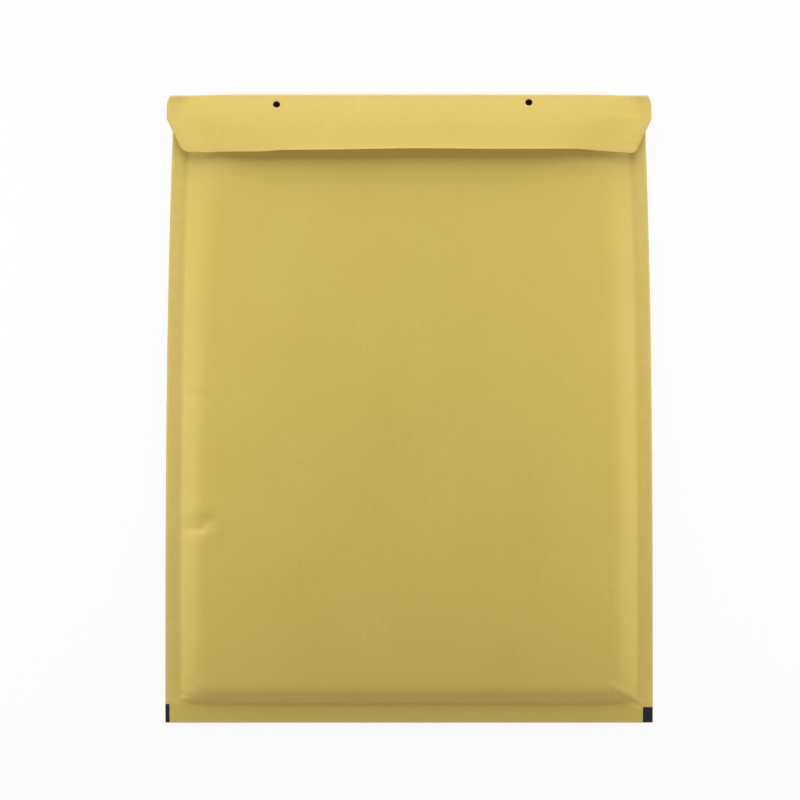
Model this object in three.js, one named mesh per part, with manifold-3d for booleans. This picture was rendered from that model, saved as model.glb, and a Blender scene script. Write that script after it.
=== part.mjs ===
// A padded mailing envelope of brown kraft paper, empty and unused, lying on its address side.
// The cover is one folded sheet, welded down both sides and pressed flat above the bottom fold.
// A bag of bubble film lines it. The flap is folded over the mouth and springs up off the padding,
// and under it a band of glue waits behind a peel-off strip.
// Millimetres. X runs across the envelope, Y from the bottom fold up to the flap's fold, and Z up
// from the table. The origin is on the table, under the middle of the outside size.
import * as THREE from "three";
import { LoftGeometry } from "three/addons/geometries/LoftGeometry.js";
import { mergeVertices } from "three/addons/utils/BufferGeometryUtils.js";
import Module from "manifold-3d";

// Outside of the cover
const envelopeWidth = 290; // across the welded sides, at the bottom
const envelopeLength = 373.5; // from the bottom fold to the flap's fold
const mouthPinch = 4.3; // how far the padding draws each side in at the mouth
const mouthStraight = 18; // length of the sides below the mouth that run straight again
const pinchPower = 3; // the sides draw in closer to the mouth with a higher power
const paper = 0.4; // wall of the cover
const sideSeam = 9.2; // flat welded strip down each side
const bottomSeam = 10; // flat strip above the bottom fold
const seamHeight = 4; // from the table to the middle of the flat strips

// Padding
const film = 2.8; // bubble film, over its bubbles
const pocketGap = 5.4; // between the two layers of film
const crown = 1.2; // extra height along the middle of the front
const sideFlank = 16; // run of the padding's curved side, from the seam to the level part
const mouthFlank = 26; // the same at the mouth, where the padding is rounder
const bottomFlank = 15; // the same above the bottom strip
const clearance = 0.3; // between the cover, the lining, the glue and the peel-off strip
const liningToSeam = 1; // from the cover's seam to the edge of the lining
const liningWeld = 5; // strip where the two layers of film are welded together
const liningSetback = 4; // from the cover's mouth to the edge of the lining

// Flap
const mouthSetback = 8.5; // from the flap's fold back to the mouth, in plan
const creaseRise = 1.5; // how far the fold stands above the middle of the mouth
const flapTrim = 1; // how far the flap is cut inside the envelope's width, at each side
const creaseTrim = 3; // the same at its fold
const flapEase = 7; // length over which it widens from the fold
const flapShoulder = 14.5; // from the fold to where its sides start to taper
const flapTaper = 10; // how far each tapering side comes in on its way to the lip
const flapReach = 35.3; // from the fold to the ends of the lip, in plan
const flapCorner = 4; // radius of the lip's corners
const flapPaper = 0.3; // single sheet, a little thinner than the laminated wall
const flapRoot = 3; // how far that sheet runs into the back wall
const flapLift = 7.5; // how far the middle of the lip stands up off the padding
const archPower = 4; // the lip's arch is flatter in the middle with a higher power
const lipArch = 1.9; // how far the lifted middle of the lip draws back towards the fold
const drape = 4; // how far outside the padding the flap starts to rise over it

// Glue and its peel-off strip, under the flap
const stripToLip = 4;
const stripToMouth = 4.8;
const stripThickness = 0.2;
const glueMargin = 2; // how far the strip reaches past the glue, at every edge
const glueThickness = 0.3;

// Hanging holes, through the flap alone
const holeDiameter = 4.2;
const holeSpacing = 150.3;
const holeOffset = -3.6; // of the pair's middle from the middle of the envelope
const holeToFold = 5.6;

// Printed cutting marks in the bottom corners
const markHeight = 9.5;
const leftMarkWidth = 2.4;
const rightMarkWidth = 5.8;
const inkThickness = 0.1;
const inkGap = 0.05;

// Fineness of the lofts
const flankShares = [0, 0.03, 0.12, 0.3, 0.52, 0.76, 1];
const middleColumns = 10;
const bodyRows = 9;
const backBendSteps = 5;
const flapSteps = 3;
const cornerSteps = 4;
const holeSides = 20;

// Places that follow from the sizes above
const bottomY = -envelopeLength / 2;
const foldY = envelopeLength / 2;
const mouthY = foldY - mouthSetback;
const flapWidth = envelopeWidth - 2 * flapTrim;
const creaseWidth = envelopeWidth - 2 * creaseTrim;
const pinchEndY = mouthY - mouthStraight;
const liningEndY = mouthY - liningSetback;
const frontHeight = 2 * (paper + clearance + film) + pocketGap;
const stackUnderFlap = 2 * clearance + glueThickness + stripThickness;
const stripStart = mouthSetback + stripToMouth;
const stripEnd = flapReach - stripToLip;
const cornerStart = flapReach - flapCorner;

const wasm = await Module();
wasm.setup();

const { clamp, lerp } = THREE.MathUtils;

// Even steps from one number to another, both included.
function steps(from, to, count) {
  return Array.from({ length: count + 1 }, (_, i) => lerp(from, to, i / count));
}

// The share of its full height that the padding has at a distance inside a seam.
function rise(distance, flank) {
  const share = clamp(distance / flank, 0, 1);
  return share * (2 - share);
}

// How far the padding has changed to its form at the mouth: slowly at first, then faster.
function towardsMouth(y) {
  return clamp((y - bottomY) / (pinchEndY - bottomY), 0, 1) ** pinchPower;
}

function halfWidthAt(y) {
  return envelopeWidth / 2 - mouthPinch * towardsMouth(y);
}

function flankAt(y) {
  return lerp(sideFlank, mouthFlank, towardsMouth(y));
}

// A shell is a closed form between a back and a front skin. It is described by how deep it lies
// under the cover's outside, how far inside the cover's seam it starts, and half its thickness there.
const outside = { depth: 0, inset: 0, onSeam: paper };
const cavity = { depth: paper, inset: 0, onSeam: 0 };
const liningOutside = { depth: paper + clearance, inset: liningToSeam, onSeam: 0 };
const pocket = { depth: paper + clearance + film, inset: liningToSeam + liningWeld, onSeam: 0 };

// How full the padding is at a place, from 0 on the flat strips to 1 where it is level.
function fullness(x, y, { inset }) {
  const fromSide = halfWidthAt(y) - sideSeam - inset - Math.abs(x);
  const fromBottom = y - bottomY - bottomSeam - inset;
  return rise(fromSide, flankAt(y) - inset) * rise(fromBottom, bottomFlank - inset);
}

// Height of the level part of the front, which is crowned across.
function crownedHeight(x) {
  return frontHeight + crown * (1 - (2 * x / envelopeWidth) ** 2);
}

function frontSkin(x, y, shell) {
  return lerp(seamHeight + shell.onSeam, crownedHeight(x) - shell.depth, fullness(x, y, shell));
}

function backSkin(x, y, shell) {
  return lerp(seamHeight - shell.onSeam, shell.depth, fullness(x, y, shell));
}

// Places across the envelope from right to left: close together on the flanks, even between them.
function columnsAt(y, shell) {
  const halfWidth = halfWidthAt(y);
  const seamLine = halfWidth - sideSeam - shell.inset;
  const flank = flankShares.map((share) => seamLine - share * (flankAt(y) - shell.inset));
  const side = shell.onSeam > 0 ? [halfWidth, ...flank] : flank;
  const level = flank.at(-1);
  const middle = steps(level, -level, middleColumns).slice(1, -1);
  return [...side, ...middle, ...side.map((x) => -x).reverse()];
}

// Places along the envelope, upwards: a closed form starts where it has some thickness.
function rowsUpTo(end, shell) {
  const seamLine = bottomY + bottomSeam + shell.inset;
  const flank = flankShares.map((share) => seamLine + share * (bottomFlank - shell.inset));
  const start = shell.onSeam > 0 ? [bottomY, ...flank] : flank.slice(1);
  return [...start, ...steps(flank.at(-1), pinchEndY, bodyRows).slice(1), end];
}

// One closed section: along the first line and back along the second, which may share its ends.
function ring(line, otherLine) {
  const back = otherLine.filter((point, i) => !point.equals(line[i]));
  return [...line, ...back.reverse()];
}

function loft(sections) {
  return new LoftGeometry(sections, { closed: true, capStart: true, capEnd: true });
}

function shellForm(shell, end) {
  return loft(rowsUpTo(end, shell).map((y) => {
    const across = columnsAt(y, shell);
    return ring(
      across.map((x) => new THREE.Vector3(x, y, backSkin(x, y, shell))),
      across.map((x) => new THREE.Vector3(x, y, frontSkin(x, y, shell))),
    );
  }));
}

// The flap's columns keep their share of its width all the way to the lip.
const flapColumns = columnsAt(mouthY, outside).map((x) => x / halfWidthAt(mouthY));

// Half the flap's width at a distance from its fold: eased out, straight, tapered, rounded off.
function flapHalfWidth(distance) {
  const eased = lerp(creaseWidth, flapWidth, rise(distance, flapEase)) / 2;
  const tapering = clamp((distance - flapShoulder) / (flapReach - flapShoulder), 0, 1);
  const intoCorner = Math.max(distance - cornerStart, 0);
  const rounding = flapCorner - Math.sqrt(Math.max(flapCorner ** 2 - intoCorner ** 2, 0));
  return eased - flapTaper * tapering - rounding;
}

// Height of the front under the flap, a little wide so that the flap rises clear of the flank.
function support(x, y) {
  const fromSide = halfWidthAt(y) - sideSeam + drape - Math.abs(x);
  return lerp(seamHeight + paper, crownedHeight(x), rise(fromSide, flankAt(y) + drape));
}

// How much the flap springs up in one column: most in the middle, nothing at its sides.
function spring(column) {
  return 1 - Math.abs(column) ** archPower;
}

function creaseHeight(x) {
  const middle = (backSkin(x, mouthY, outside) + frontSkin(x, mouthY, outside)) / 2;
  return middle + creaseRise;
}

// Height of the middle of the flap's sheet over the front.
function heightOverFront(column, x, distance) {
  const pastMouth = distance - mouthSetback;
  const stack = stackUnderFlap * clamp(pastMouth / stripToMouth, 0, 1);
  const lift = flapLift * spring(column) * pastMouth / (flapReach - mouthSetback);
  return support(x, Math.min(foldY - distance, mouthY)) + flapPaper / 2 + clearance + stack + lift;
}

// The middle of the flap's sheet, in one column, at a distance from the fold.
function flapPoint(column, distance) {
  const x = column * flapHalfWidth(distance);
  const reach = 1 - lipArch * spring(column) / flapReach;
  const y = foldY - flapPaper / 2 - distance * reach;
  const toMouth = Math.min(distance / mouthSetback, 1);
  const over = heightOverFront(column, x, Math.max(distance, mouthSetback));
  return new THREE.Vector3(x, y, lerp(creaseHeight(x), over, toMouth));
}

// Distances from the fold at which the flap has a section.
const roundCorner = steps(0, Math.PI / 2, cornerSteps).slice(1);
const flapRows = [
  ...steps(0, flapEase, flapSteps),
  mouthSetback,
  stripStart,
  ...steps(flapShoulder, cornerStart, flapSteps),
  ...roundCorner.map((angle) => cornerStart + flapCorner * Math.sin(angle)),
].sort((a, b) => a - b);

// One column of the flap's sheet: out of the back wall, up to the fold, and over to the lip.
function flapPath(column) {
  const x = column * halfWidthAt(mouthY);
  const inWall = backSkin(x, mouthY, outside) + paper / 2;
  const crease = flapPoint(column, 0);
  const bend = new THREE.QuadraticBezierCurve3(
    new THREE.Vector3(x, mouthY, inWall),
    new THREE.Vector3((x + crease.x) / 2, crease.y, inWall),
    crease,
  );
  return [
    new THREE.Vector3(x, mouthY - flapRoot, inWall),
    ...bend.getPoints(backBendSteps),
    ...flapRows.slice(1).map((distance) => flapPoint(column, distance)),
  ];
}

// The way from one face of the sheet to the other at a point of its path.
function acrossSheet(path, i) {
  const before = path[Math.max(i - 1, 0)];
  const after = path[Math.min(i + 1, path.length - 1)];
  const along = new THREE.Vector3().subVectors(path[i], before).setX(0).normalize();
  const onward = new THREE.Vector3().subVectors(after, path[i]).setX(0).normalize();
  const way = along.add(onward);
  return new THREE.Vector3(0, -way.z, way.y).setLength(flapPaper / 2);
}

function flapForm() {
  const paths = flapColumns.map(flapPath);
  return loft(paths[0].map((_, i) => ring(
    paths.map((path) => path[i].clone().sub(acrossSheet(path, i))),
    paths.map((path) => path[i].clone().add(acrossSheet(path, i))),
  )));
}

// A flat band under the flap, between two distances from the fold, that follows the flap's form.
function bandUnderFlap(from, to, columns, depth, thickness) {
  const rows = [from, ...flapRows.filter((distance) => distance > from && distance < to), to];
  const face = (distance, below) => columns.map((column) => {
    const point = flapPoint(column, distance);
    return point.setZ(point.z - flapPaper / 2 - below);
  });
  return loft(rows.map((distance) => ring(face(distance, depth), face(distance, depth + thickness))));
}

function solid(geometry) {
  const surface = new THREE.BufferGeometry().copy(geometry);
  surface.deleteAttribute("normal");
  surface.deleteAttribute("uv");
  const merged = mergeVertices(surface);
  return new wasm.Manifold(new wasm.Mesh({
    numProp: 3,
    vertProperties: new Float32Array(merged.attributes.position.array),
    triVerts: new Uint32Array(merged.index.array),
  }));
}

function geometryOf(manifold) {
  const { vertProperties, triVerts } = manifold.getMesh();
  const geometry = new THREE.BufferGeometry();
  geometry.setAttribute("position", new THREE.BufferAttribute(vertProperties, 3));
  geometry.setIndex(new THREE.BufferAttribute(triVerts, 1));
  return geometry;
}

function hangingHole(x) {
  const column = x / flapHalfWidth(holeToFold);
  const radius = holeDiameter / 2;
  const cylinder = new THREE.CylinderGeometry(radius, radius, holeDiameter, holeSides);
  cylinder.rotateX(Math.PI / 2);
  cylinder.translate(x, foldY - holeToFold, flapPoint(column, holeToFold).z);
  return solid(cylinder);
}

function coverGeometry() {
  const sheets = solid(shellForm(outside, mouthY))
    .subtract(solid(shellForm(cavity, foldY)))
    .add(solid(flapForm()));
  const holes = [-1, 1].map((side) => hangingHole(holeOffset + side * holeSpacing / 2));
  return geometryOf(holes.reduce((cover, hole) => cover.subtract(hole), sheets));
}

function liningGeometry() {
  const bag = solid(shellForm(liningOutside, liningEndY));
  return geometryOf(bag.subtract(solid(shellForm(pocket, foldY))));
}

function markGeometry(width, side) {
  const mark = new THREE.BoxGeometry(width, markHeight, inkThickness);
  const onStrip = seamHeight + paper + inkGap + inkThickness / 2;
  mark.translate(side * (envelopeWidth - width) / 2, bottomY + markHeight / 2, onStrip);
  return mark;
}

const kraft = { color: 0xd1b566, roughness: 0.8, metalness: 0 };
const clearFilm = { color: 0xdfe7ea, roughness: 0.25, metalness: 0 };
const hotMelt = { color: 0xe9dcae, roughness: 0.3, metalness: 0 };
const siliconePaper = { color: 0xf2f0e8, roughness: 0.45, metalness: 0 };
const ink = { color: 0x1b2138, roughness: 0.6, metalness: 0 };

function piece(name, geometry, finish) {
  const mesh = new THREE.Mesh(geometry, new THREE.MeshStandardMaterial(finish));
  mesh.name = name;
  return mesh;
}

// The peel-off strip ends in line with the cover's side seams, and the glue inside its ends.
const stripColumns = flapColumns.slice(1, -1);
const glueEnd = stripColumns[0] - 2 * glueMargin / flapWidth;
const glueColumns = [glueEnd, ...flapColumns.filter((column) => Math.abs(column) < glueEnd), -glueEnd];
const stripDepth = clearance + glueThickness + clearance;

function glueGeometry() {
  const from = stripStart + glueMargin;
  const to = stripEnd - glueMargin;
  return bandUnderFlap(from, to, glueColumns, clearance, glueThickness);
}

function stripGeometry() {
  return bandUnderFlap(stripStart, stripEnd, stripColumns, stripDepth, stripThickness);
}

const envelope = new THREE.Group();
envelope.add(piece("paper_cover", coverGeometry(), kraft));
envelope.add(piece("bubble_lining", liningGeometry(), clearFilm));
envelope.add(piece("adhesive_band", glueGeometry(), hotMelt));
envelope.add(piece("release_strip", stripGeometry(), siliconePaper));
envelope.add(piece("print_mark_left", markGeometry(leftMarkWidth, -1), ink));
envelope.add(piece("print_mark_right", markGeometry(rightMarkWidth, 1), ink));

export default envelope;
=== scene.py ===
"""A padded envelope of gold-brown kraft paper with a lining of bubble film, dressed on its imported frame.

The cover is made the way its maker folds it: one sheet that starts at the flap's lip, runs over the fold and
down the back, turns at the bottom fold and comes up the front to the mouth. Inside lies the bag of bubble
film, and under the flap the glue with its peel-off strip.

Metres. X runs across the envelope, Y from the bottom fold up to the flap's fold, Z up from the table.
"""

import logging
import math
from collections.abc import Callable, Sequence
from dataclasses import dataclass, field
from enum import Enum

import bmesh
import bpy
from mathutils import Matrix, Vector, noise


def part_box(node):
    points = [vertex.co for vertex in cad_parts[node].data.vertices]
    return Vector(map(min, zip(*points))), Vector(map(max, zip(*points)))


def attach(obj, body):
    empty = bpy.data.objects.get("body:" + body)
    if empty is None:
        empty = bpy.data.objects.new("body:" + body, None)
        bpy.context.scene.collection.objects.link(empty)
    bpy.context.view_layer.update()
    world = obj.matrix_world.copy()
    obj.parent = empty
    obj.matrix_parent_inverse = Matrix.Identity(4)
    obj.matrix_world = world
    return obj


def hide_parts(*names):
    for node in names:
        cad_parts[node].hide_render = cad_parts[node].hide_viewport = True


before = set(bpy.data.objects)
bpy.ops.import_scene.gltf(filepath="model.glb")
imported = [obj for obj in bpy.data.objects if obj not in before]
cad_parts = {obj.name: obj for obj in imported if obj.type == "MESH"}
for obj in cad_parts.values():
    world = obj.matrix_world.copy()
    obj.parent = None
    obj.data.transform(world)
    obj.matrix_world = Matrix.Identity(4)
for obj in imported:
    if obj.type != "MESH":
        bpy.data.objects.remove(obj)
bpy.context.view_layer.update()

log = logging.getLogger("padded_envelope")

Colour = tuple[float, float, float]
Span = tuple[float, float]


class Slot(Enum):
    """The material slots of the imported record."""

    KRAFT = "kraft_paper"
    FILM = "bubble_film"
    GLUE = "hot_melt"
    SILICONE = "silicone_paper"
    INK = "ink"


class Zone(Enum):
    """The parts of the cover's one sheet, in their order from the lip to the front's mouth edge."""

    FLAP = "flap"
    TONGUE = "tongue"
    BACK = "back"
    BOTTOM_FOLD = "bottom fold"
    FRONT = "front"


class Side(Enum):
    """The two sides of the envelope, as seen from the front."""

    LEFT = -1
    RIGHT = 1


class Layer(Enum):
    """The two layers of the lining, with the way that each one faces."""

    FRONT = 1
    BACK = -1


def clamp(value: float, low: float = 0.0, high: float = 1.0) -> float:
    """Keeps a value between two others."""
    return max(low, min(high, value))


def lerp(start: float, end: float, share: float) -> float:
    """The value that lies a share of the way from start to end."""
    return start + (end - start) * share


def ease(value: float, low: float, high: float) -> float:
    """Goes smoothly from 0 at low to 1 at high."""
    share = clamp((value - low) / (high - low))
    return share * share * (3 - 2 * share)


def rise(distance: float, flank: float, roundness: float = 2.0, softness: float = 0.0) -> float:
    """The share of its full height that the padding has at a distance inside a seam.

    Args:
        distance: The distance inside the seam.
        flank: The run of the padding's curved side.
        roundness: How full the curve is: 2 for a plain parabola, and more for a fuller shoulder.
        softness: The share of the flank over which it leaves the seam softly.

    Returns:
        The share, from 0 at the seam to 1 where the padding is level.
    """
    share = clamp(distance / flank)
    if share > 0:
        share *= share * (1 + softness) / (share + softness)
    return 1 - (1 - share) ** roundness


def spread(start: float, end: float, count: int) -> list[float]:
    """Evenly spaced values from start up to end, without end itself.

    Args:
        start: The first value.
        end: The value after the last one.
        count: How many values there are.

    Returns:
        The values in order.
    """
    return [lerp(start, end, step / count) for step in range(count)]


@dataclass(frozen=True)
class EnvelopeForm:
    """The envelope's sizes, and the surfaces that follow from them as they do in the CAD model."""

    width: float = 0.290
    length: float = 0.3735
    mouth_pinch: float = 0.0043
    mouth_straight: float = 0.018
    pinch_power: float = 3.0
    side_seam: float = 0.0092
    bottom_seam: float = 0.0116
    seam_height: float = 0.004
    paper: float = 0.00028
    front_height: float = 0.0124
    crown: float = 0.0012
    side_flank: float = 0.016
    mouth_flank: float = 0.026
    bottom_flank: float = 0.015
    bottom_roundness: float = 3.8
    bottom_softness: float = 0.04
    bottom_slump: float = 0.0030
    slump_run: float = 0.080
    side_softness: float = 0.05
    mouth_setback: float = 0.0085
    crease_rise: float = 0.0040
    crease_end_rise: float = 0.1
    crease_width: float = 0.284
    flap_width: float = 0.288
    flap_ease: float = 0.007
    flap_shoulder: float = 0.0145
    flap_taper: float = 0.010
    flap_reach: float = 0.0353
    flap_corner: float = 0.004
    right_flap_corner: float = 0.0022
    flap_over_front: float = 0.00045
    stack_under_flap: float = 0.0011
    strip_to_mouth: float = 0.0048
    flap_lift: float = 0.0075
    arch_power: float = 4.0
    lip_arch: float = 0.0019
    drape: float = 0.004

    @property
    def bottom_y(self) -> float:
        """Where the bottom fold lies."""
        return -self.length / 2

    @property
    def fold_y(self) -> float:
        """Where the flap's fold lies."""
        return self.length / 2

    @property
    def mouth_y(self) -> float:
        """Where the mouth lies, under the flap."""
        return self.fold_y - self.mouth_setback

    def towards_mouth(self, y: float) -> float:
        """How far the padding has changed to its form at the mouth: slowly at first, then faster."""
        end = self.mouth_y - self.mouth_straight
        return clamp((y - self.bottom_y) / (end - self.bottom_y)) ** self.pinch_power

    def half_width_at(self, y: float) -> float:
        """Half the width of the cover at a height along it."""
        return self.width / 2 - self.mouth_pinch * self.towards_mouth(y)

    def flank_at(self, y: float) -> float:
        """The run of the padding's curved side at a height along the cover."""
        return lerp(self.side_flank, self.mouth_flank, self.towards_mouth(y))

    def side_share(self, x: float, y: float, inset: float = 0.0) -> float:
        """How full the padding is for its distance from the side seam alone."""
        from_side = self.half_width_at(y) - self.side_seam - inset - abs(x)
        return rise(from_side, self.flank_at(y) - inset, softness=self.side_softness)

    def fullness(self, x: float, y: float, inset: float = 0.0) -> float:
        """How full the padding is, from 0 on the flat strips to 1 where it is level.

        Args:
            x: The place across the envelope.
            y: The place along the envelope.
            inset: How far inside the cover's seam the padding of this layer starts.

        Returns:
            The share of the full height.
        """
        from_bottom = y - self.bottom_y - self.bottom_seam - inset
        from_fold = rise(from_bottom, self.bottom_flank - inset, self.bottom_roundness, self.bottom_softness)
        return self.side_share(x, y, inset) * from_fold

    def crowned_height(self, x: float) -> float:
        """Height of the level part of the front, which is crowned across."""
        return self.front_height + self.crown * (1 - (2 * x / self.width) ** 2)

    def level_height(self, x: float, y: float) -> float:
        """Height of the level part of the front, which sinks a little towards the bottom fold."""
        left = 1 - clamp((y - self.bottom_y) / self.slump_run)
        return self.crowned_height(x) - self.bottom_slump * left**2

    def front(self, x: float, y: float) -> float:
        """Height of the front's outside."""
        return lerp(self.seam_height + self.paper, self.level_height(x, y), self.fullness(x, y))

    def back(self, x: float, y: float) -> float:
        """Height of the back's outside."""
        return (self.seam_height - self.paper) * (1 - self.fullness(x, y))

    def across(self, code: float, y: float) -> float:
        """The place across the envelope that a column of the sheet has.

        Args:
            code: The column: 0 to 1 over the level middle, 1 to 2 over the flank, 2 to 3 over the side strip,
                and the same below 0 for the left half.
            y: The place along the envelope.

        Returns:
            The x of the place.
        """
        seam = self.half_width_at(y) - self.side_seam
        level = seam - self.flank_at(y)
        size = abs(code)
        inside = level * min(size, 1) + self.flank_at(y) * clamp(size - 1) + self.side_seam * clamp(size - 2)
        return math.copysign(inside, code)

    def flap_half_width(self, column: float, distance: float) -> float:
        """Half the flap's width, which is eased out at the fold, then straight, tapered and rounded off.

        Args:
            column: The share of the half width at which a place lies, below 0 on the left.
            distance: The distance from the fold, in plan.

        Returns:
            The half width on that side.
        """
        eased = lerp(self.crease_width, self.flap_width, rise(distance, self.flap_ease)) / 2
        tapering = clamp((distance - self.flap_shoulder) / (self.flap_reach - self.flap_shoulder))
        corner = self.flap_corner if column < 0 else self.right_flap_corner
        into_corner = max(distance - self.flap_reach + corner, 0)
        rounding = corner - math.sqrt(max(corner**2 - into_corner**2, 0))
        return eased - self.flap_taper * tapering - rounding

    def support(self, x: float, y: float) -> float:
        """Height of the front under the flap, a little wide so that the flap rises clear of the flank.

        Args:
            x: The place across the envelope.
            y: The place along the envelope.

        Returns:
            The height above the table.
        """
        from_side = self.half_width_at(y) - self.side_seam + self.drape - abs(x)
        share = rise(from_side, self.flank_at(y) + self.drape)
        return lerp(self.seam_height + self.paper, self.crowned_height(x), share)

    def spring(self, column: float) -> float:
        """How much the flap springs up in one column: most in the middle, nothing at its sides."""
        return 1 - abs(column) ** self.arch_power

    def crease_height(self, x: float) -> float:
        """Height of the flap's fold, which lies pressed flat at its ends."""
        middle = (self.back(x, self.mouth_y) + self.front(x, self.mouth_y)) / 2
        return middle + self.crease_rise * lerp(self.crease_end_rise, 1, self.side_share(x, self.mouth_y))

    def height_over_front(self, column: float, x: float, distance: float) -> float:
        """Height of the middle of the flap's sheet over the front.

        Args:
            column: The share of the flap's half width at which the place lies.
            x: The place across the envelope.
            distance: The distance from the fold, in plan.

        Returns:
            The height above the table.
        """
        past_mouth = distance - self.mouth_setback
        stack = self.stack_under_flap * clamp(past_mouth / self.strip_to_mouth)
        lift = self.flap_lift * self.spring(column) * past_mouth / (self.flap_reach - self.mouth_setback)
        support = self.support(x, min(self.fold_y - distance, self.mouth_y))
        return support + self.flap_over_front + stack + lift

    def flap_point(self, column: float, distance: float) -> Vector:
        """The middle of the flap's sheet, in one column, at a distance from the fold.

        Args:
            column: The share of the flap's half width at which the place lies.
            distance: The distance from the fold, in plan.

        Returns:
            The place.
        """
        x = column * self.flap_half_width(column, distance)
        reach = 1 - self.lip_arch * self.spring(column) / self.flap_reach
        y = self.fold_y - distance * reach
        over = self.height_over_front(column, x, max(distance, self.mouth_setback))
        return Vector((x, y, lerp(self.crease_height(x), over, min(distance / self.mouth_setback, 1))))


@dataclass(frozen=True)
class Crease:
    """One dent, pucker or small ridge of the front, between two places on it."""

    start: Span
    end: Span
    depth: float
    width: float
    shoulder: float = 0.35
    shoulder_at: float = 1.9

    def offset(self, x: float, y: float) -> float:
        """How far the crease moves the front at a place, with a soft shoulder beside the valley.

        Args:
            x: The place across the envelope.
            y: The place along the envelope.

        Returns:
            The change in height, below 0 in a valley.
        """
        start, along = Vector(self.start), Vector(self.end) - Vector(self.start)
        place = Vector((x, y)) - start
        share = clamp(place.dot(along) / along.length_squared)
        away = (place - along * share).length / self.width
        beside = self.shoulder * math.exp(-((away - self.shoulder_at) ** 2))
        return -self.depth * (math.exp(-(away**2)) - beside)


@dataclass(frozen=True)
class Swell:
    """Soft waves over a sheet: their height, their length along each axis and where their noise is read."""

    height: float
    lengths: Span
    seed: float
    shift: float = 0.0

    def at(self, x: float, y: float) -> float:
        """How far the waves move the sheet at a place."""
        place = Vector((x / self.lengths[0] + self.shift, y / self.lengths[1], self.seed))
        return noise.noise(place) * self.height


@dataclass(frozen=True)
class Signal:
    """A number or colour that varies over a surface: one output of a node, with Python's arithmetic."""

    graph: "ShaderGraph"
    socket: bpy.types.NodeSocket

    def __add__(self, other: "Signal | float") -> "Signal":
        """The sum of this and another."""
        return self.graph.math("ADD", self, other)

    def __mul__(self, other: "Signal | float") -> "Signal":
        """The product of this and another."""
        return self.graph.math("MULTIPLY", self, other)

    def __sub__(self, other: "Signal | float") -> "Signal":
        """This less another."""
        return self.graph.math("SUBTRACT", self, other)

    def __rsub__(self, other: float) -> "Signal":
        """A number less this."""
        return self.graph.math("SUBTRACT", other, self)

    def __pow__(self, other: float) -> "Signal":
        """This to a power."""
        return self.graph.math("POWER", self, other)

    def __abs__(self) -> "Signal":
        """The size of this without its sign."""
        return self.graph.math("ABSOLUTE", self)

    __radd__ = __add__
    __rmul__ = __mul__


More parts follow.
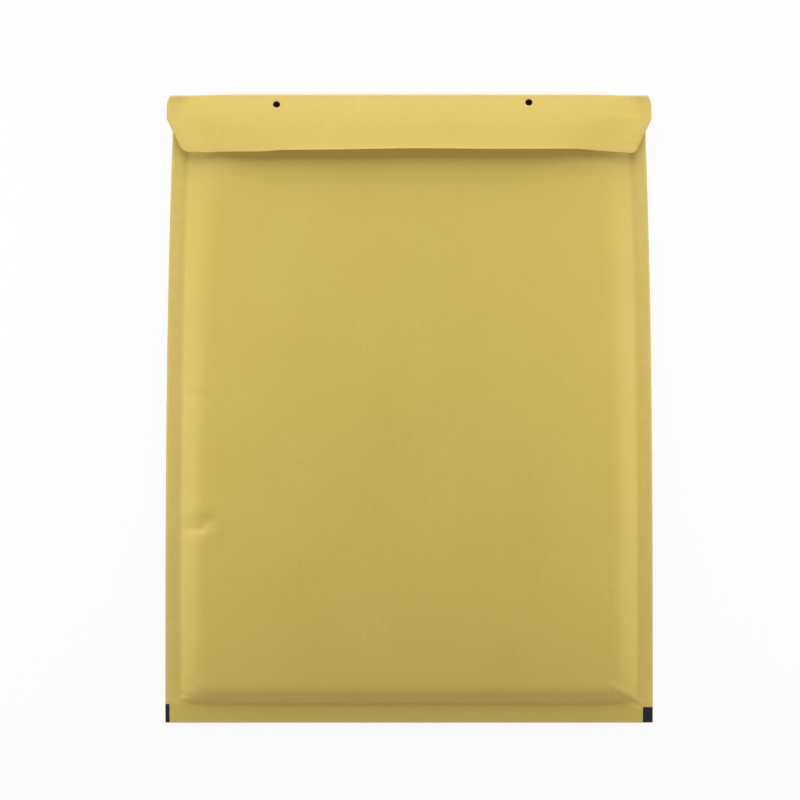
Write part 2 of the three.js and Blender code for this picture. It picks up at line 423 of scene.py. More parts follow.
class ShaderGraph:
    """The nodes of one material or of the world, made from expressions."""

    def __init__(self, tree: bpy.types.NodeTree) -> None:
        """Empties the tree of its first nodes."""
        self.tree = tree
        tree.nodes.clear()

    @classmethod
    def of_material(cls, name: str) -> "ShaderGraph":
        """Starts a new material of that name.

        Args:
            name: The material's name.

        Returns:
            The graph of its nodes, still empty.
        """
        material = bpy.data.materials.new(name)
        material.use_nodes = True
        return cls(material.node_tree)

    def node(
        self,
        kind: str,
        settings: dict[str, object] | None = None,
        sockets: dict[str | int, object] | None = None,
        output: str | int = 0,
    ) -> Signal:
        """Adds one node.

        Args:
            kind: The node's type.
            settings: The node's own options, which are set first.
            sockets: The value or the signal for each of its sockets, by name or number.
            output: The name or number of the output that is wanted.

        Returns:
            That output.
        """
        made = self.tree.nodes.new(kind)
        for option, value in (settings or {}).items():
            setattr(made, option, value)
        for key, value in (sockets or {}).items():
            if isinstance(value, Signal):
                self.tree.links.new(value.socket, made.inputs[key])
            else:
                made.inputs[key].default_value = value
        return Signal(self, made.outputs[output]) if made.outputs else Signal(self, made.inputs[0])

    def math(self, operation: str, *values: "Signal | float") -> Signal:
        """One step of arithmetic on numbers."""
        return self.node("ShaderNodeMath", {"operation": operation}, dict(enumerate(values)))

    def blend(self, share: "Signal | float", low: "Signal | Colour", high: "Signal | Colour") -> Signal:
        """A colour between two others.

        Args:
            share: 0 for the first colour, 1 for the second.
            low: The first colour.
            high: The second colour.

        Returns:
            The colour between them.
        """
        first, second = (c if isinstance(c, Signal) else (*c, 1.0) for c in (low, high))
        return self.node("ShaderNodeMix", {"data_type": "RGBA"}, {0: share, 6: first, 7: second}, 2)

    def stretched(self, place: Signal, grain: Colour) -> Signal:
        """A place on the surface counted in grains of a length for each axis.

        Args:
            place: The coordinates in metres.
            grain: The length of a grain along each axis, in metres.

        Returns:
            The coordinates in grains.
        """
        counts = tuple(1 / length for length in grain)
        return self.node("ShaderNodeVectorMath", {"operation": "MULTIPLY"}, {0: place, 1: counts})

    def cloud(self, place: Signal, grain: Colour, detail: float = 2.0) -> Signal:
        """Soft noise about 0, from about -0.5 to 0.5.

        Args:
            place: The coordinates in metres.
            grain: The length of the noise along each axis, in metres.
            detail: How many finer layers it has.

        Returns:
            The noise.
        """
        sockets = {"Vector": self.stretched(place, grain), "Scale": 1.0, "Detail": detail}
        return self.node("ShaderNodeTexNoise", None, sockets) - 0.5

    def ramp(self, value: Signal, low: float, high: float) -> Signal:
        """Goes smoothly from 0 where the value is low to 1 where it is high.

        Args:
            value: The value that is read.
            low: Where the result is 0.
            high: Where the result is 1.

        Returns:
            The result.
        """
        sockets = {"Value": value, "From Min": low, "From Max": high}
        return self.node("ShaderNodeMapRange", {"interpolation_type": "SMOOTHSTEP"}, sockets)

    def sheet_place(self) -> Signal:
        """The place on a flat sheet before it was folded, in metres."""
        return self.node("ShaderNodeUVMap", {"uv_map": "sheet"})

    def object_place(self) -> Signal:
        """The place in the row frame, in metres."""
        return self.node("ShaderNodeTexCoord", None, None, "Object")

    def painted(self, name: str) -> Signal:
        """A number that the mesh holds at each of its corners."""
        return self.node("ShaderNodeAttribute", {"attribute_name": name}, None, "Fac")

    def bump(self, height: Signal) -> Signal:
        """The normal of a surface that is raised by a height in metres."""
        return self.node("ShaderNodeBump", None, {"Height": height, "Strength": 1.0, "Distance": 1.0})

    def surface(self, sockets: dict[str | int, object]) -> bpy.types.Material:
        """Ends the material with a Principled shader.

        Args:
            sockets: The value or the signal for each of the shader's sockets.

        Returns:
            The material.
        """
        shader = self.node("ShaderNodeBsdfPrincipled", None, sockets)
        self.node("ShaderNodeOutputMaterial", None, {"Surface": shader})
        return next(m for m in bpy.data.materials if m.node_tree == self.tree)


@dataclass(frozen=True)
class KraftFinish:
    """Smooth machine-finished kraft: short fibres along the sheet, cloudy tone, paler where it is folded, and
    a painted highlight along the flap's lip.
    """

    tone: Colour = (0.650, 0.482, 0.110)
    deep_tone: Colour = (0.555, 0.390, 0.074)
    pale_tone: Colour = (0.730, 0.580, 0.172)
    worn_and_highlight_tone: Colour = (0.780, 0.630, 0.380)
    fleck_tone: Colour = (0.330, 0.210, 0.060)
    fibre: Colour = (0.00016, 0.0015, 1.0)
    fine_fibre: Colour = (0.00007, 0.0005, 1.0)
    formation: Colour = (0.0035, 0.006, 1.0)
    cloudiness: Colour = (0.045, 0.070, 1.0)
    streak: Colour = (0.0022, 0.110, 1.0)
    roughness: float = 0.60
    weld_paleness: float = 0.42
    bubble_pitch: float = 0.011
    bubble_relief: float = 0.000012
    fleck_grain: Colour = (0.0004, 0.0011, 1.0)
    fleck_span: Span = (0.27, 0.33)
    wear_and_highlight_grain: Colour = (0.0012, 0.0016, 1.0)
    tone_range: float = 0.55
    fibre_share: float = 0.16
    fleck_share: float = 0.35
    fibre_relief: float = 0.000006
    fine_relief: float = 0.000008
    formation_relief: float = 0.000016
    ior: float = 1.36

    def bubble_print(self, graph: ShaderGraph, place: Signal) -> Signal:
        """The lining's bubbles as they show faintly through the paper: three crossing waves.

        Args:
            graph: The material's nodes.
            place: The place on the flat sheet.

        Returns:
            A height from about -0.5 to 1.
        """
        total: Signal | float = 0.0
        for turn in (0, 60, 120):
            angle = math.radians(turn)
            turns = 2 * math.pi / (self.bubble_pitch * math.sqrt(3) / 2)
            way = (math.cos(angle) * turns, math.sin(angle) * turns, 0.0)
            phase = graph.node(
                "ShaderNodeVectorMath", {"operation": "DOT_PRODUCT"}, {0: place, 1: way}, "Value"
            )
            total = graph.math("COSINE", phase) + total
        return total * (1 / 3)

    def material(self) -> bpy.types.Material:
        """Makes the material.

        Returns:
            The material.
        """
        graph = ShaderGraph.of_material("kraft")
        place = graph.sheet_place()
        padding, wear, weld = (graph.painted(name) for name in ("padding", "wear", "weld"))
        fibres = (1 - abs(graph.cloud(place, self.fibre, 3.0) * 2.6)) ** 5
        fine = graph.cloud(place, self.fine_fibre, 2.0)
        formation = graph.cloud(place, self.formation, 4.0)
        clouds = graph.cloud(place, self.cloudiness, 2.0)
        streaks = graph.cloud(place, self.streak, 2.0)
        flecks = graph.ramp(graph.cloud(place, self.fleck_grain, 1.0), *self.fleck_span)

        lightness = clouds * 0.55 + formation * 0.5 + streaks * 0.12 + fine * 0.4
        tone = graph.blend(graph.ramp(lightness, 0.0, self.tone_range), self.tone, self.pale_tone)
        tone = graph.blend(graph.ramp(lightness, 0.0, -self.tone_range), tone, self.deep_tone)
        tone = graph.blend(fibres * self.fibre_share, tone, self.pale_tone)
        tone = graph.blend(flecks * self.fleck_share, tone, self.fleck_tone)
        tone = graph.blend(weld * (formation * 0.8 + self.weld_paleness), tone, self.pale_tone)
        # Pale folds are real paler paper; the pale line along the flap's lip is a painted highlight.
        worn_and_highlit = wear * (graph.cloud(place, self.wear_and_highlight_grain, 3.0) * 1.2 + 0.9)
        tone = graph.blend(graph.ramp(worn_and_highlit, 0.0, 1.0), tone, self.worn_and_highlight_tone)

        relief = fibres * self.fibre_relief + fine * self.fine_relief + formation * self.formation_relief
        prints = self.bubble_print(graph, place) * padding * self.bubble_relief
        return graph.surface(
            {
                "Base Color": tone,
                "Roughness": formation * 0.14 + fine * 0.12 + self.roughness,
                "Normal": graph.bump(relief + prints),
                "IOR": self.ior,
            }
        )


@dataclass(frozen=True)
class FilmFinish:
    """Clear polyethylene bubble film, slightly milky."""

    tone: Colour = (0.80, 0.85, 0.87)
    milky_tone: Colour = (0.90, 0.93, 0.94)
    roughness: float = 0.16
    opacity: float = 0.42
    haze_grain: Colour = (0.006, 0.006, 0.006)
    ripple_grain: Colour = (0.0022, 0.0030, 0.0022)
    ripple_relief: float = 0.00012
    ior: float = 1.5

    def material(self) -> bpy.types.Material:
        """Makes the material.

        Returns:
            The material.
        """
        graph = ShaderGraph.of_material("bubble_film")
        place = graph.object_place()
        haze = graph.cloud(place, self.haze_grain, 3.0)
        ripple = graph.cloud(place, self.ripple_grain, 2.0)
        return graph.surface(
            {
                "Base Color": graph.blend(haze + 0.5, self.tone, self.milky_tone),
                "Roughness": haze * 0.18 + self.roughness,
                "Alpha": haze * 0.25 + self.opacity,
                "Normal": graph.bump(ripple * self.ripple_relief),
                "IOR": self.ior,
            }
        )


@dataclass(frozen=True)
class GlueFinish:
    """Pressure-sensitive hot melt: glossy, slightly yellow, laid on in fine lines."""

    tone: Colour = (0.80, 0.70, 0.40)
    thin_tone: Colour = (0.86, 0.79, 0.55)
    line_pitch: float = 0.0016
    line_length: float = 0.060
    line_relief: float = 0.00012
    wander_grain: Colour = (0.010, 0.004, 0.004)
    wander_relief: float = 0.0001
    roughness: float = 0.24
    ior: float = 1.48

    def material(self) -> bpy.types.Material:
        """Makes the material.

        Returns:
            The material.
        """
        graph = ShaderGraph.of_material("hot_melt")
        place = graph.object_place()
        wander = graph.cloud(place, self.wander_grain, 3.0)
        lines = graph.cloud(place, (self.line_length, self.line_pitch, self.line_pitch), 2.0)
        return graph.surface(
            {
                "Base Color": graph.blend(wander + 0.5, self.tone, self.thin_tone),
                "Roughness": wander * 0.2 + self.roughness,
                "Normal": graph.bump(lines * self.line_relief + wander * self.wander_relief),
                "IOR": self.ior,
            }
        )


@dataclass(frozen=True)
class SiliconeFinish:
    """White silicone-coated release paper with a satin face."""

    tone: Colour = (0.87, 0.86, 0.80)
    shade_tone: Colour = (0.78, 0.77, 0.71)
    fibre_grain: Colour = (0.0016, 0.00022, 0.0004)
    fibre_relief: float = 0.00001
    mottle_grain: Colour = (0.004, 0.004, 0.004)
    mottle_relief: float = 0.00003
    roughness: float = 0.36
    ior: float = 1.46

    def material(self) -> bpy.types.Material:
        """Makes the material.

        Returns:
            The material.
        """
        graph = ShaderGraph.of_material("silicone_paper")
        place = graph.object_place()
        fibres = graph.cloud(place, self.fibre_grain, 3.0)
        mottle = graph.cloud(place, self.mottle_grain, 3.0)
        return graph.surface(
            {
                "Base Color": graph.blend(mottle * 0.8 + 0.4, self.tone, self.shade_tone),
                "Roughness": mottle * 0.16 + self.roughness,
                "Normal": graph.bump(fibres * self.fibre_relief + mottle * self.mottle_relief),
                "IOR": self.ior,
            }
        )


@dataclass(frozen=True)
class InkFinish:
    """Flat blue-black printing ink that has sunk unevenly into the paper."""

    tone: Colour = (0.006, 0.007, 0.016)
    thin_tone: Colour = (0.020, 0.020, 0.034)
    grain: Colour = (0.0005, 0.0011, 0.0005)
    relief: float = 0.00001
    roughness: float = 0.72
    ior: float = 1.28

    def material(self) -> bpy.types.Material:
        """Makes the material.

        Returns:
            The material.
        """
        graph = ShaderGraph.of_material("ink")
        place = graph.object_place()
        coverage = graph.cloud(place, self.grain, 4.0)
        return graph.surface(
            {
                "Base Color": graph.blend(coverage + 0.45, self.tone, self.thin_tone),
                "Roughness": coverage * 0.2 + self.roughness,
                "Normal": graph.bump(coverage * self.relief),
                "IOR": self.ior,
            }
        )


class SheetMesh:
    """A rectangular sheet as a grid, whose corners are moved to their places on the folded form."""

    def __init__(
        self,
        columns: int,
        rows: int,
        place: Callable[[int, int], Vector],
        paints: dict[str, Callable[[int, int], float]] | None = None,
    ) -> None:
        """Makes the grid, puts each of its corners in place and paints it.

        Args:
            columns: How many columns of faces it has.
            rows: How many rows of faces it has.
            place: Gives the place of a corner for its column and row.
            paints: The numbers that each corner holds for the material, by name.
        """
        self.bm = bmesh.new()
        self.flat_map = self.bm.loops.layers.uv.new("sheet")
        for name in paints or {}:
            self.bm.verts.layers.float.new(name)
        bmesh.ops.create_grid(self.bm, x_segments=columns, y_segments=rows, size=1.0)
        self.lines: list[list[bmesh.types.BMVert]] = [[None] * (columns + 1) for _ in range(rows + 1)]
        for vert in self.bm.verts:
            column = round((vert.co.x + 1) / 2 * columns)
            row = round((vert.co.y + 1) / 2 * rows)
            self.lines[row][column] = vert
        for row, line in enumerate(self.lines):
            for column, vert in enumerate(line):
                vert.co = place(column, row)
                for name, value in (paints or {}).items():
                    vert[self.bm.verts.layers.float[name]] = value(column, row)

    def lay_flat(self) -> None:
        """Gives the sheet a map of the places that its corners have before it is folded."""
        middle = len(self.lines[0]) // 2
        flat: dict[bmesh.types.BMVert, Vector] = {}
        travelled = 0.0
        before = self.lines[0][middle].co
        for line in self.lines:
            travelled += (line[middle].co - before).length
            before = line[middle].co
            for vert in line:
                flat[vert] = Vector((vert.co.x, travelled))
        for face in self.bm.faces:
            for loop in face.loops:
                loop[self.flat_map].uv = flat[loop.vert]

    def finished(self, name: str) -> bpy.types.Object:
        """Turns the grid into an object of that name."""
        return finished_piece(self.bm, name)


def finished_piece(bm: bmesh.types.BMesh, name: str) -> bpy.types.Object:
    """Turns a bmesh into a smooth-shaded object at the origin.

    Args:
        bm: The mesh, which is freed.
        name: The object's name.

    Returns:
        The object.
    """
    mesh = bpy.data.meshes.new(name)
    for face in bm.faces:
        face.smooth = True
    bm.to_mesh(mesh)
    bm.free()
    piece = bpy.data.objects.new(name, mesh)
    bpy.context.scene.collection.objects.link(piece)
    return piece


def add_wall(piece: bpy.types.Object, thickness: float) -> None:
    """Gives a sheet its thickness, on the side away from its face.

    Args:
        piece: The sheet.
        thickness: The wall's thickness.
    """
    wall = piece.modifiers.new("wall", "SOLIDIFY")
    wall.thickness = thickness
    wall.offset = -1.0
    wall.use_even_offset = True


def dress(piece: bpy.types.Object, material: bpy.types.Material, slot: Slot, node: str) -> None:
    """Gives a piece its finish and its place in the frame.

    Args:
        piece: The piece.
        material: Its material.
        slot: The record's slot that the finish belongs to; not used.
        node: The CAD node that it stands for.
    """
    piece.data.materials.append(material)
    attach(piece, "root")
    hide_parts(node)


@dataclass
class KraftCover:
    """The cover: one folded sheet of kraft with welded sides and two punched holes in its flap."""

    form: EnvelopeForm
    finish: KraftFinish = field(default_factory=KraftFinish)
    middle_columns: int = 84
    flank_columns: int = 17
    strip_columns: int = 7
    flap_rows: tuple[int, ...] = (9, 16, 14, 6)
    fold_run: float = 0.003
    tongue_rows: int = 12
    turn_rows: int = 4
    back_rows: tuple[int, ...] = (60, 9, 12)
    front_rows: tuple[int, ...] = (12, 20, 36, 40, 106)
    wave: Swell = Swell(0.00030, (0.050, 0.062), 1.7)
    broad_wave: Swell = Swell(0.00045, (0.110, 0.150), 7.3, 3.1)
    back_wave: Swell = Swell(0.5, (0.050, 0.060), 5.5)
    back_lift: float = 0.00030
    strip_wave: Swell = Swell(0.00016, (0.045, 0.032), 4.0)
    flap_wave: Swell = Swell(0.00030, (0.055, 0.030), 8.8)
    flank_ripple: float = 0.00050
    ripple_lengths: Span = (0.019, 0.030)
    long_ripple: float = 0.047
    bottom_droop: float = 0.0011
    calm_under_flap: float = 0.85
    lip_curl: float = 0.0003
    lip_curl_run: float = 0.0035
    flap_blend: float = 0.0075
    end_lift: float = 0.0028
    lip_line: tuple[Span, ...] = (
        (-1.00, 0.0006),
        (-0.90, 0.0001),
        (-0.68, 0.0001),
        (-0.56, 0.0009),
        (-0.37, 0.0011),
        (0.05, 0.0018),
        (0.42, 0.0015),
        (0.74, 0.0017),
        (0.88, 0.0006),
        (1.00, 0.0002),
    )
    crease_softness: int = 5
    crease_wear: float = 0.0016
    bottom_wear: float = 0.0011
    # The pale band along the lip is a painted highlight; this is how far in from the lip it runs.
    lip_highlight_run: float = 0.0022
    crease_paleness: float = 0.75
    bottom_paleness: float = 0.9
    lip_highlight_paleness: float = 0.15
    hole_radius: float = 0.0021
    hole_reach: float = 0.02
    fine_reach: float = 3.2
    cut_reach: float = 1.12
    holes: tuple[Span, ...] = ((-0.0784, 0.0069), (0.0708, 0.0056))
    dent_span: Span = (-0.090, -0.058)
    creases: tuple[Crease, ...] = (
        Crease((-0.1285, -0.0700), (-0.1205, -0.0668), 0.00085, 0.0048),
        Crease((-0.1318, -0.0712), (-0.1226, -0.0712), 0.00028, 0.0018),
        Crease((-0.1226, -0.0712), (-0.1178, -0.0650), 0.00018, 0.0019),
        Crease((-0.1290, 0.0090), (-0.1210, 0.0065), 0.00040, 0.0035),
        Crease((0.1243, -0.1705), (0.1346, -0.1752), 0.00034, 0.0014),
        Crease((0.1346, -0.1752), (0.1374, -0.1767), 0.00022, 0.0012),
        Crease((0.1200, -0.1640), (0.1300, -0.1695), -0.00030, 0.0022),
        Crease((-0.1348, -0.1718), (-0.1240, -0.1728), -0.00038, 0.0011),
        Crease((-0.1310, -0.1620), (-0.1240, -0.1680), 0.00030, 0.0020),
    )

    def __post_init__(self) -> None:
        """Works out the sheet's columns and the stations of its rows."""
        f = self.form
        half = (
            spread(0, 1, self.middle_columns // 2)
            + spread(1, 2, self.flank_columns)
            + spread(2, 3, self.strip_columns)
            + [3.0]
        )
        self.codes = [-code for code in reversed(half[1:])] + half
        seam = f.bottom_y + f.bottom_seam
        level = seam + f.bottom_flank
        corner = f.flap_reach - f.flap_corner
        turns, *rows = self.flap_rows
        flap = [corner + f.flap_corner * math.sin(math.pi / 2 * step / turns) for step in range(turns, 0, -1)]
        flap += self.stretches((corner, f.flap_shoulder, self.fold_run, 0), rows)
        up_front = self.stretches((f.bottom_y, seam, level, *self.dent_span, f.mouth_y), self.front_rows)
        down_back = self.stretches((f.mouth_y, level, seam, f.bottom_y), self.back_rows)
        self.stations: list[tuple[Zone, float]] = [
            *((Zone.FLAP, distance) for distance in flap),
            *((Zone.TONGUE, share) for share in spread(1, 0, self.tongue_rows)),
            *((Zone.BACK, y) for y in down_back),
            *((Zone.BOTTOM_FOLD, turn) for turn in spread(0, 1, self.turn_rows)),
            *((Zone.FRONT, y) for y in [*up_front, f.mouth_y]),
        ]

    @staticmethod
    def stretches(ends: Sequence[float], rows: Sequence[int]) -> list[float]:
        """The stations of rows that lie evenly within each of several stretches.

        Args:
            ends: Where each stretch starts, and where the last one ends.
            rows: How many rows each stretch has.

        Returns:
            The stations, without the last end.
        """
        bounds = zip(ends, ends[1:], rows)
        return [station for start, end, count in bounds for station in spread(start, end, count)]

    def share_of_flap(self, code: float) -> float:
        """The share of the flap's half width at which a column lies."""
        f = self.form
        return f.across(code, f.mouth_y) / f.half_width_at(f.mouth_y)

    def dents(self, x: float, y: float) -> float:
        """How far all the creases together move the paper at a place."""
        return sum(crease.offset(x, y) for crease in self.creases)

    def strip_offset(self, x: float, y: float) -> float:
        """How far both sheets of the flat strips stand from their level, with their waves and drooping fold.

        Args:
            x: The place across the envelope.
            y: The place along the envelope.

        Returns:
            The change in height.
        """
        f = self.form
        wave = self.strip_wave.at(x, y)
        droop = self.bottom_droop * clamp(1 - (y - f.bottom_y) / f.bottom_seam)
        return (wave - droop + self.dents(x, y)) * (1 - f.fullness(x, y))

    def front_relief(self, x: float, y: float) -> float:
        """How far the front's paper stands from its plain form.

        Args:
            x: The place across the envelope.
            y: The place along the envelope.

        Returns:
            The height above the plain form.
        """
        f = self.form
        full = f.fullness(x, y)
        side = f.side_share(x, y)
        lip_y = f.fold_y - f.flap_reach
        clear_of_flap = 1 - self.calm_under_flap * ease(y, lip_y - 0.004, lip_y + 0.010)
        broad, waves = self.broad_wave.at(x, y), self.wave.at(x, y)
        short, crosswise = self.ripple_lengths
        ripple = noise.noise(Vector((math.copysign(9.0, x), y / short, x / crosswise))) * self.flank_ripple
        ripple += noise.noise(Vector((math.copysign(5.0, x), y / self.long_ripple, 2.5))) * self.flank_ripple
        on_flank = 4 * side * (1 - side) * full
        return ((broad + waves) * full + ripple * on_flank) * clear_of_flap + self.dents(x, y) * full

    def lip_setback(self, column: float) -> float:
        """How far the lip lies back from the ends of its longest side, in one column.

        Args:
            column: The share of the flap's half width at which the place lies.

        Returns:
            The distance, in plan.
        """
        for (near, first), (far, second) in zip(self.lip_line, self.lip_line[1:]):
            if column <= far:
                return lerp(first, second, ease(column, near, far))
        return self.lip_line[-1][1]

    def flap_height(self, column: float, distance: float) -> float:
        """Height of the middle of the flap's sheet, with its bends over the mouth and the strip softened.

        Args:
            column: The share of the flap's half width at which the place lies.
            distance: The distance from the fold, in plan.

        Returns:
            The height above the table.
        """
        run = min(self.flap_blend, distance, self.form.flap_reach - distance)
        nearby = (self.form.flap_point(column, distance + run * step).z for step in (-1, -0.5, 0, 0.5, 1))
        return sum(nearby) / 5

    def flap_place(self, column: float, distance: float) -> Vector:
        """The flap's outside in one column, at a distance from the fold.

        Args:
            column: The share of the flap's half width at which the place lies.
            distance: The distance from the fold, in plan.

        Returns:
            The place, with the flap's waves, its stiff ends and its curled lip.
        """
        f = self.form
        x = column * f.flap_half_width(column, distance)
        y = f.fold_y - distance * (1 - self.lip_setback(column) / f.flap_reach)
        wave = self.flap_wave.at(x, distance)
        ends = self.end_lift * ease(abs(column), 0.86, 1.0)
        curl = self.lip_curl * clamp((distance - f.flap_reach + self.lip_curl_run) / self.lip_curl_run) ** 2
        lifted = (wave + ends) * ease(distance, 0.004, 0.030) + curl * f.spring(column)
        return Vector((x, y, self.flap_height(column, distance) + f.paper / 2 + lifted))

    def tongue_place(self, column: float, share: float) -> Vector:
        """The sheet between the back's mouth and the fold: out along the back, then up.

        Args:
            column: The share of the half width at which the place lies.
            share: 0 at the mouth, 1 at the fold.

        Returns:
            The place on the sheet's outside.
        """
        f = self.form
        x = column * f.half_width_at(f.mouth_y)
        crease = self.flap_place(column, 0)
        mouth = Vector((x, f.mouth_y, f.back(x, f.mouth_y)))
        bend = Vector(((x + crease.x) / 2, crease.y, mouth.z))
        return mouth.lerp(bend, share).lerp(bend.lerp(crease, share), share)

    def place(self, column: int, row: int) -> Vector:
        """The place of one corner of the sheet on the folded cover.

        Args:
            column: The column of the corner in the grid.
            row: The row of the corner in the grid.

        Returns:
            The place.
        """
        f = self.form
        zone, at = self.stations[row]
        code = self.codes[column]
        if zone is Zone.FLAP:
            return self.flap_place(self.share_of_flap(code), at)
        if zone is Zone.TONGUE:
            return self.tongue_place(self.share_of_flap(code), at)
        if zone is Zone.BOTTOM_FOLD:
            x = f.across(code, f.bottom_y)
            angle = math.pi * at
            out = Vector((0, -math.sin(angle), -math.cos(angle))) * f.paper
            return Vector((x, f.bottom_y + f.paper, f.seam_height + self.strip_offset(x, f.bottom_y))) + out
        y = max(at, f.bottom_y + f.paper)
        x = f.across(code, at)
        if zone is Zone.BACK:
            lift = (0.5 + self.back_wave.at(x, y)) * self.back_lift * f.fullness(x, y)
            return Vector((x, y, f.back(x, y) + lift + self.strip_offset(x, y)))
        return Vector((x, y, f.front(x, y) + self.front_relief(x, y) + self.strip_offset(x, y)))

    def padding_at(self, column: int, row: int) -> float:
        """How full the padding is under one corner of the sheet.

        Args:
            column: The column of the corner in the grid.
            row: The row of the corner in the grid.

        Returns:
            0 on the flat, 1 where it is level.
        """
        zone, at = self.stations[row]
        if zone not in (Zone.FRONT, Zone.BACK):
            return 0.0
        return self.form.fullness(self.form.across(self.codes[column], at), at)

    def weld_at(self, column: int, row: int) -> float:
        """Whether one corner of the sheet lies on a welded side strip, where the pressed paper is paler.

        Args:
            column: The column of the corner in the grid.
            row: The row of the corner in the grid.

        Returns:
            1 on the strip, 0 off it.
        """
        zone, at = self.stations[row]
        if zone not in (Zone.FRONT, Zone.BACK):
            return 0.0
        clear_of_bottom = ease(at, self.form.bottom_y + 0.004, self.form.bottom_y + 0.016)
        return clamp(4 * (abs(self.codes[column]) - 1.85)) * clear_of_bottom

    def wear_and_highlight_at(self, column: int, row: int) -> float:
        """How much one corner of the sheet is made pale: worn at the folds, with a painted highlight along
        the lip.

        Args:
            column: The column of the corner in the grid.
            row: The row of the corner in the grid.

        Returns:
            0 for new paper, 1 for the palest.
        """
        f = self.form
        zone, at = self.stations[row]
        if zone is Zone.FLAP:
            fold = self.crease_paleness * (1 - ease(at, 0, self.crease_wear))
            # The pale band along the lip is a painted highlight, the curled edge catching the light.
            return fold + self.lip_highlight_paleness * ease(at, f.flap_reach - self.lip_highlight_run, f.flap_reach)
        if zone is Zone.TONGUE:
            return self.crease_paleness * ease(at, 0.75, 1)
        if zone is Zone.BOTTOM_FOLD:
            return self.bottom_paleness
        return self.bottom_paleness * (1 - ease(at - f.bottom_y, 0, self.bottom_wear))

    def on_flap(self, place: Vector) -> Vector:
        """The place across and the distance from the fold of a point on the flap.

        Args:
            place: The point.

        Returns:
            Both, as one vector.
        """
        f = self.form
        distance = f.fold_y - place.y
        column = place.x / f.flap_half_width(place.x, max(distance, 0))
        return Vector((place.x, distance / (1 - self.lip_setback(column) / f.flap_reach)))

    def punch_hole(self, bm: bmesh.types.BMesh, centre: Vector) -> None:
        """Punches one round hole in the flap.

        Args:
            bm: The cover's mesh.
            centre: The place across the envelope, and the distance from the fold.
        """
        f = self.form

        def faces_within(reach: float, *, whole: bool) -> list[bmesh.types.BMFace]:
            """The flap's outer faces that lie whole, or with a corner, within a reach of the centre.

            Args:
                reach: The distance from the centre.
                whole: Whether all of a face's corners have to lie within it.

            Returns:
                The faces.
            """
            test = all if whole else any
            return [
                face
                for face in bm.faces
                if face.normal.z > 0
                and face.calc_center_median().y > f.fold_y - self.hole_reach
                and abs(face.calc_center_median().x - centre.x) < 2 * reach
                and test((self.on_flap(vert.co) - centre).length < reach for vert in face.verts)
            ]

        bm.normal_update()
        fine = faces_within(self.fine_reach * self.hole_radius, whole=True)
        around = {edge for face in fine for edge in face.edges}
        bmesh.ops.subdivide_edges(bm, edges=list(around), cuts=2, use_grid_fill=True)
        bm.normal_update()
        cut = faces_within(self.cut_reach * self.hole_radius, whole=False)
        inside = set(cut)
        rim = [
            edge
            for edge in {edge for face in cut for edge in face.edges}
            if len(edge.link_faces) == 2 and sum(face in inside for face in edge.link_faces) == 1
        ]
        bmesh.ops.delete(bm, geom=cut, context="FACES")
        rim = [edge for edge in rim if edge.is_valid]
        grown = bmesh.ops.extrude_edge_only(bm, edges=rim)["geom"]
        for vert in (item for item in grown if isinstance(item, bmesh.types.BMVert)):
            outward = (self.on_flap(vert.co) - centre).normalized()
            on_rim = centre + outward * self.hole_radius
            vert.co = self.flap_place(on_rim.x / f.flap_half_width(on_rim.x, on_rim.y), on_rim.y)

    def build(self) -> bpy.types.Object:
        """Folds the sheet, presses its crease, punches its holes and dresses it.

        Returns:
            The cover.
        """
        paints = {"padding": self.padding_at, "wear": self.wear_and_highlight_at, "weld": self.weld_at}
        sheet = SheetMesh(len(self.codes) - 1, len(self.stations) - 1, self.place, paints)
        crease = next(row for row, (zone, _) in enumerate(self.stations) if zone is Zone.TONGUE)
        near_crease = [vert for line in sheet.lines[crease - 3 : crease + 4] for vert in line]
        for _ in range(self.crease_softness):
            bmesh.ops.smooth_vert(sheet.bm, verts=near_crease, factor=0.5, use_axis_y=True, use_axis_z=True)
        sheet.lay_flat()
        for hole in self.holes:
            self.punch_hole(sheet.bm, Vector(hole))
        cover = sheet.finished("kraft_cover")
        add_wall(cover, self.form.paper)
        dress(cover, self.finish.material(), Slot.KRAFT, "paper_cover")
        return cover


